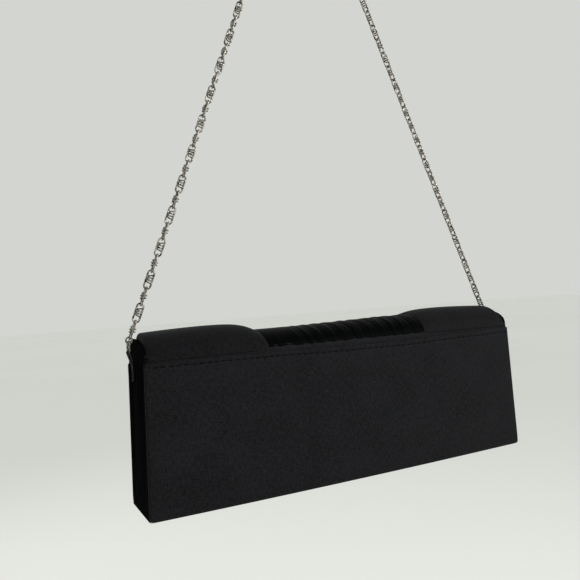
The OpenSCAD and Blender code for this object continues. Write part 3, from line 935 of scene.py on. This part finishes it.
def puff(piece, sewn, cap, frames=12):
    """Fills a pad by cloth pressure from inside. Its sewn points stay, and no point moves past the cap."""
    before = [v.co.copy() for v in piece.data.vertices]
    seams = piece.vertex_groups.new(name="sewn")
    seams.add(sewn, 1.0, "REPLACE")
    cloth = piece.modifiers.new("filling", "CLOTH")
    settings = cloth.settings
    settings.quality = 6
    settings.mass = 0.02
    settings.use_pressure = True
    settings.uniform_pressure_force = 6
    settings.tension_stiffness = 20
    settings.compression_stiffness = 20
    settings.bending_stiffness = 0.6
    settings.effector_weights.gravity = 0
    settings.vertex_group_mass = "sewn"
    cloth.collision_settings.use_collision = False
    cloth.point_cache.frame_start = 1
    cloth.point_cache.frame_end = frames
    for step in range(1, frames + 1):
        bpy.context.scene.frame_set(step)
    filled = piece.evaluated_get(bpy.context.evaluated_depsgraph_get()).data
    after = [v.co.copy() for v in filled.vertices]
    piece.modifiers.remove(cloth)
    piece.vertex_groups.clear()
    for vertex, start, end in zip(piece.data.vertices, before, after):
        move = end - start
        if move.length > cap:
            move = move.normalized() * cap
        vertex.co = start + move


def make_wing(side):
    hand = HANDS[side]
    inset = 1.6 * MM
    cover, sewn = pad_grid(46, 84, wing_surface(side, 0.0, 1.0, 0), wing_surface(side, 0.0, 0, 0.06 * MM))
    puff(cover, sewn, 0.8 * MM)
    apply_modifier(cover, "SUBSURF", levels=1, render_levels=1)
    face_outwards(cover)
    thicken(cover, 0.4 * MM)
    # The wing's cover is dressed in the darker satin that carries painted shade.
    finish_piece(cover, hand + "_padded_wing", WING_SATIN_PAINTED_SHADE, "flap", (hand + "_wing_cover",))
    fill, _ = pad_grid(24, 44, wing_surface(side, inset, 0.72, 0), wing_surface(side, inset, 0, 0.6 * MM))
    finish_piece(fill, hand + "_wing_wadding", WADDING, "flap", (hand + "_wing_padding",))


BAND_CLOTH = 0.5 * MM


def gather(across, v, foot_v):
    """Height of the ruching: pleats of uneven width and length that run from the seam to the foot."""
    wander = across * 55 + 1.1 * ripple(across * 0.06, v, 1, 0.03)
    deep = 0.5 + 0.5 * math.sin(0.74 * wander + 2.8 * ripple(across * 0.055, 0, 7, 0.013))
    fine = 0.5 + 0.5 * math.sin(1.75 * wander + 3.8 * ripple(across * 0.055, v * 0.5, 11, 0.012))
    faint = 0.5 + 0.5 * math.sin(3.9 * wander + 3.0 * ripple(across * 0.055, v * 0.6, 17, 0.009))
    level = 0.6 + 0.5 * ripple(across * 0.055, v, 5, 0.024)
    fresh = 1 + 0.35 * soft_step((v - ARC_LENGTH) / (foot_v - ARC_LENGTH))
    return (0.44 * deep ** 0.8 + (0.34 * fine ** 0.8 + 0.15 * faint) * level * fresh) * MM


def make_band():
    """The gathered band: its long edges go under the wings, and its folds run from back to front."""
    def shape(s, t):
        across = 2 * s - 1

        def x_at(v):
            return across * (band_half(v) + 0.8 * MM)

        to_foot = length_to_foot(x_at)
        v = to_foot * t
        x = x_at(v)
        y, z, oy, oz = on_dome(v)
        crown_share = math.sin(math.pi * v / ARC_LENGTH) if v < ARC_LENGTH else 0.0
        lean = -0.018 * x * crown_share
        hem = soft_step((to_foot - v) / (2.5 * MM))
        seam = 0.35 + 0.65 * soft_step(v / (7 * MM))
        tucked = 1 - 0.5 * abs(across) ** 8
        thickness = 0.85 * MM + (gather(across, v, to_foot) * tucked + lean) * seam * (0.35 + 0.65 * hem)
        thickness = max(thickness, BAND_CLOTH + 0.25 * MM)
        return Vector((x, y + oy * thickness, z + oz * thickness)), (across * 0.073, v)

    piece = cloth_grid(230, 92, shape)
    turn_if(piece, lambda c, n: n.dot(from_dome(c)) < 0)
    thicken(piece, BAND_CLOTH)
    finish_piece(piece, "ruched_satin_band", RUCHED, "flap", ("ruched_band",))


def make_flap_lining():
    """The flap's lining, its edges turned up round the edges of the board."""
    depth = flap_high.y - flap_lining_high.y
    columns = [(-1, True)] + [(u, False) for u in spaced(71, -1, 1)] + [(1, True)]
    rows = [(0, True)] + [(w, False) for w in spaced(62, 0, 1)] + [(1, True)]

    def shape(s, t):
        across, side_turn = pick(columns, s)
        down, end_turn = pick(rows, t)
        spare = 0.3 * MM if side_turn else 0.62 * MM

        def x_at(v):
            return across * (flap_half(v) - spare)

        to_foot = length_to_foot(x_at) - (0.3 * MM if end_turn else 0.6 * MM)
        v = to_foot * down
        x = x_at(v)
        y, z, oy, oz = on_dome(v)
        sink = depth + 0.06 * MM * (1 + ripple(x, v, 8, 0.02))
        if side_turn or end_turn:
            sink = -0.05 * MM
        drop = 0.25 * MM if down == 0 else 0.0
        return Vector((x, y - oy * sink, z - oz * sink - drop)), (x, v - sink)

    piece = cloth_grid(len(columns) - 1, len(rows) - 1, shape)
    turn_if(piece, lambda c, n: n.dot(from_dome(c)) > 0)
    thicken(piece, 0.35 * MM)
    finish_piece(piece, "dome_lining", LINING, "flap", ("flap_lining",))


def make_seam_strip():
    """The flap's sewn edge, which bends where the flap turns."""
    above = 3.2 * MM
    y0 = BACK_Y - COVER_T - 0.05 * MM
    rows = spaced(16, SEAM_Z - 4 * MM, SEAM_Z + above)

    def shape(s, t):
        x = (2 * s - 1) * (WING_BACK_HALF + 0.8 * MM)
        z = pick(rows, t)
        y = y0 - 1.3 * MM * soft_step((z - SEAM_Z) / above) + 0.1 * MM
        return Vector((x, y, z)), (x, z)

    piece = cloth_grid(60, len(rows) - 1, shape)
    turn_if(piece, lambda c, n: n.y < 0)
    thicken(piece, 0.3 * MM)
    finish_piece(piece, "flap_seam_strip", SATIN, None)
    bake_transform(piece)


# ---------- stitching ----------

def stitch_model(length, width):
    bpy.ops.mesh.primitive_uv_sphere_add(segments=8, ring_count=6, radius=0.5)
    model = bpy.context.active_object
    model.data.transform(Matrix.Diagonal((length, width, width, 1)))
    return model


def sew(name, points, normal, body, length=3.1 * MM, gap=1.0 * MM, width=0.46 * MM):
    """Stitches in a row along a line of points, lying on cloth that faces along the normal."""
    model = stitch_model(length, width)
    places = []
    walked = 0.0
    due = 0.0
    out = Vector(normal).normalized()
    for a, b in zip(points, points[1:]):
        step = (b - a).length
        while due <= walked + step and step > 0:
            along = (b - a) / step
            place = a + along * (due - walked)
            across = out.cross(along).normalized()
            turn = Matrix((along, across, out)).transposed().to_4x4()
            places.append(Matrix.Translation(place) @ turn)
            due += length + gap
        walked += step
    piece = copies(model, places, name)
    bpy.data.objects.remove(model)
    finish_piece(piece, name, THREAD, body)


def cover_face(x, z):
    """The back face's own Y at a place, as the cover is shaped."""
    flat = z - (fold_edge(x) - SEAM_Z)
    return BACK_Y + crown(x, flat, SEAM_Z) - stitch_line_sink(x, z)


def make_topstitching():
    end = MOUTH_HALF - 2.5 * MM
    xs = spaced(160, -end, end)
    line = [Vector((x, cover_face(x, stitch_line(x)) + 0.06 * MM, stitch_line(x))) for x in xs]
    sew("back_topstitching", line, (0, 1, 0), "bag")
    hem = [Vector((x, FRONT_Y - 0.03 * MM, MOUTH_Z - STITCH_DROP)) for x in xs]
    sew("mouth_topstitching", hem, (0, -1, 0), "bag")


def make_pocket_stitching():
    half = pocket_high.x - 1.2 * MM
    foot, top = pocket_low.z + 1.2 * MM, pocket_high.z
    y = LINING_BACK - 1.1 * MM
    corners = [(-half, top - MM), (-half, foot), (half, foot), (half, top - MM)]
    line = [Vector((x, y, z)) for x, z in corners]
    sew("pocket_stitching", line, (0, -1, 0), "bag", 2.2 * MM, 0.8 * MM, 0.26 * MM)


# ---------- ribbon tabs ----------

def make_tab(side):
    """A ribbon loop: up the gusset, round the end ring and down again."""
    hand = HANDS[side]
    ring_x = (ring_low.x + ring_high.x) / 2
    ring_z = (ring_low.z + ring_high.z) / 2
    wire = ring_high.x - ring_low.x
    ring_r = (ring_high.z - ring_low.z - wire) / 2
    head = ring_z - ring_r
    loop_r = wire / 2 + 0.42 * MM
    tail = tab_low.z + 0.6 * MM
    ribbon = 0.5 * MM
    half = (tab_high.y - tab_low.y) / 2 - 0.05 * MM
    face = half_width(MOUTH_Z)
    route = [(half_width(tail) + 1.5 * ribbon, tail), (face + 1.5 * ribbon, MOUTH_Z - 2 * MM),
             (face + 1.7 * ribbon, MOUTH_Z)]
    turns = spaced(15, -0.5, math.pi + 0.5)
    route += [(ring_x + loop_r * math.cos(a), head + loop_r * math.sin(a)) for a in turns]
    route += [(face + 0.9 * ribbon, MOUTH_Z + MM), (face + 0.5 * ribbon, MOUTH_Z - MM),
              (half_width(tail) + 0.5 * ribbon, tail)]
    dense = []
    for a, b in zip(route, route[1:]):
        count = max(1, round(math.hypot(b[0] - a[0], b[1] - a[1]) / (0.7 * MM)))
        dense += [(a[0] + (b[0] - a[0]) * k / count, a[1] + (b[1] - a[1]) * k / count) for k in range(count)]
    dense.append(route[-1])
    lengths = lengths_along(dense)
    ys = spaced(9, -half, half)

    def shape(s, t):
        y = pick(ys, s)
        x, z = pick(dense, t)
        rise = (ring_r - math.sqrt(ring_r ** 2 - y * y)) * soft_step((z - MOUTH_Z - 3 * MM) / (4 * MM))
        return Vector((side * x, TAB_Y + y, z + rise)), (y, pick(lengths, t))

    piece = cloth_grid(len(ys) - 1, len(dense) - 1, shape)
    turn_if(piece, lambda c, n: n.x * side * (1 if abs(c.x) > ring_x else -1) < 0)
    thicken(piece, ribbon, 0.0)
    finish_piece(piece, hand + "_ribbon_tab", RIBBON, "bag", (hand + "_strap_tab",))
    z0, z1 = tail + MM, MOUTH_Z - 2 * MM
    out = side * (half_width(tail) + 2 * ribbon + 0.05 * MM)
    box = [(-half * 0.6, z0), (half * 0.6, z0), (half * 0.6, z1), (-half * 0.6, z1), (-half * 0.6, z0)]
    line = [Vector((out, TAB_Y + y, z)) for y, z in box]
    sew(hand + "_tab_stitching", line, (side, 0, 0), "bag", 1.3 * MM, 0.5 * MM, 0.24 * MM)


# ---------- the scroll chain ----------

def wire_path(name, points, radius, closed):
    """Round wire along a line of points, as a curve that is then made into a mesh."""
    curve = bpy.data.curves.new(name, "CURVE")
    curve.dimensions = "3D"
    curve.bevel_depth = radius
    curve.bevel_resolution = 1
    curve.use_fill_caps = True
    spline = curve.splines.new("POLY")
    spline.points.add(len(points) - 1)
    for point, place in zip(spline.points, points):
        point.co = (*place, 1)
    spline.use_cyclic_u = closed
    wire = bpy.data.objects.new(name, curve)
    bpy.context.scene.collection.objects.link(wire)
    select_only(wire)
    bpy.ops.object.convert(target="MESH")
    wire = bpy.context.active_object
    face_outwards(wire)
    return wire


def scroll_link(length, width, wire):
    """A link that stands along Z: a long loop of wire, and a scroll coiled inside its middle."""
    arc = (width - wire) / 2
    straight = length / 2 - wire / 2 - arc
    loop = [(arc * math.cos(a), 0.0, straight + arc * math.sin(a)) for a in spaced(9, 0, math.pi)]
    loop += [(-arc * math.cos(a), 0.0, -straight - arc * math.sin(a)) for a in spaced(9, 0, math.pi)]
    frame_wire = wire_path("link_loop", loop, wire * 0.6, True)
    coil_half = straight * 0.52
    coil = [(-arc, 0.0, -coil_half - 1.2 * wire)]
    for t in spaced(31, 0, 1):
        a = math.pi * (1 + 5 * t)
        swell = arc * (0.84 + 0.2 * math.sin(math.pi * t))
        coil.append((swell * 0.82 * math.cos(a), swell * 0.86 * math.sin(a), coil_half * (2 * t - 1)))
    coil.append((-arc * 0.95, 0.0, coil_half + 1.2 * wire))
    scroll = wire_path("link_scroll", coil, wire * 0.46, False)
    select_only(frame_wire)
    scroll.select_set(True)
    bpy.ops.object.join()
    return frame_wire


def link_places(node):
    """Middle and span of each separate link of a packed chain, from its own points."""
    work = bmesh.new()
    work.from_mesh(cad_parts[node].data)
    bmesh.ops.remove_doubles(work, verts=work.verts, dist=1e-6)
    seen = set()
    found = []
    for first in work.verts:
        if first in seen:
            continue
        seen.add(first)
        waiting, points = [first], []
        while waiting:
            vertex = waiting.pop()
            points.append(vertex.co.copy())
            for edge in vertex.link_edges:
                other = edge.other_vert(vertex)
                if other not in seen:
                    seen.add(other)
                    waiting.append(other)
        low = Vector(min(p[k] for p in points) for k in range(3))
        high = Vector(max(p[k] for p in points) for k in range(3))
        found.append(((low + high) / 2, high - low))
    work.free()
    return sorted(found, key=lambda item: item[0].z)


def make_strand(side, part, body):
    hand = HANDS[side]
    node = f"{hand}_chain_{part}"
    wire = top_high.z - top_low.z
    width = top_high.y - top_low.y
    length = top_high.x - top_low.x
    found = link_places(node)
    along = (found[-1][0] - found[2][0]).normalized()
    upright = Vector((0, 0, 1)).rotation_difference(along).to_matrix().to_4x4()
    link = scroll_link(length, width, wire)
    places = []
    for middle, span in found:
        if span.z < 0.7 * length:
            jump = middle
            continue
        turned = span.y > 2 * wire
        turn = Matrix.Rotation(math.pi / 2 if turned else 0.0, 4, "Z")
        places.append(Matrix.Translation(middle) @ upright @ turn)
    piece = copies(link, places, "strand")
    bpy.data.objects.remove(link)
    finish_piece(piece, f"{hand}_scroll_links_{part}", SILVER, body, (node,))
    if part == "lower":
        span = min(found, key=lambda item: item[1].z)[1]
        bpy.ops.mesh.primitive_torus_add(
            major_radius=(span.z - wire) / 2, minor_radius=wire / 2, major_segments=28, minor_segments=10)
        ring = bpy.context.active_object
        ring.data.transform(Matrix.Translation(jump) @ upright @ Matrix.Rotation(math.pi / 2, 4, "X"))
        finish_piece(ring, f"{hand}_jump_ring", SILVER, body)


def make_top_link():
    wire = top_high.z - top_low.z
    link = scroll_link(top_high.x - top_low.x, top_high.y - top_low.y, wire)
    middle = (top_low + top_high) / 2
    turn = Matrix.Rotation(math.pi / 2, 4, "Y") @ Matrix.Rotation(math.pi / 2, 4, "Z")
    piece = copies(link, [Matrix.Translation(middle) @ turn], "top")
    bpy.data.objects.remove(link)
    finish_piece(piece, "top_scroll_link", SILVER, "strap_upper", ("top_link",))


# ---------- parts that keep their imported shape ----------

def dress_packed_parts():
    finishes = {
        BOARD: ("back_board", "front_board", "base_board", "flap_board"),
        SILVER: ("left_ring", "right_ring"),
        NICKEL: ("snap_socket", "snap_stud", "socket_washer", "stud_washer"),
        FERRITE: ("snap_magnet",),
    }
    for material, names in finishes.items():
        for name in names:
            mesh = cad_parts[name].data
            mesh.materials.clear()
            mesh.materials.append(material)


# ---------- make it all ----------

dress_packed_parts()
make_cover()
make_lining()
make_pocket()
for end in (-1, 1):
    make_gusset(end)
    make_gusset_lining(end)
    make_tab(end)
    make_wing(end)
    make_strand(end, "lower", "strap_lower")
    make_strand(end, "upper", "strap_upper")
make_top_link()
make_band()
make_flap_lining()
make_seam_strip()
make_topstitching()
make_pocket_stitching()
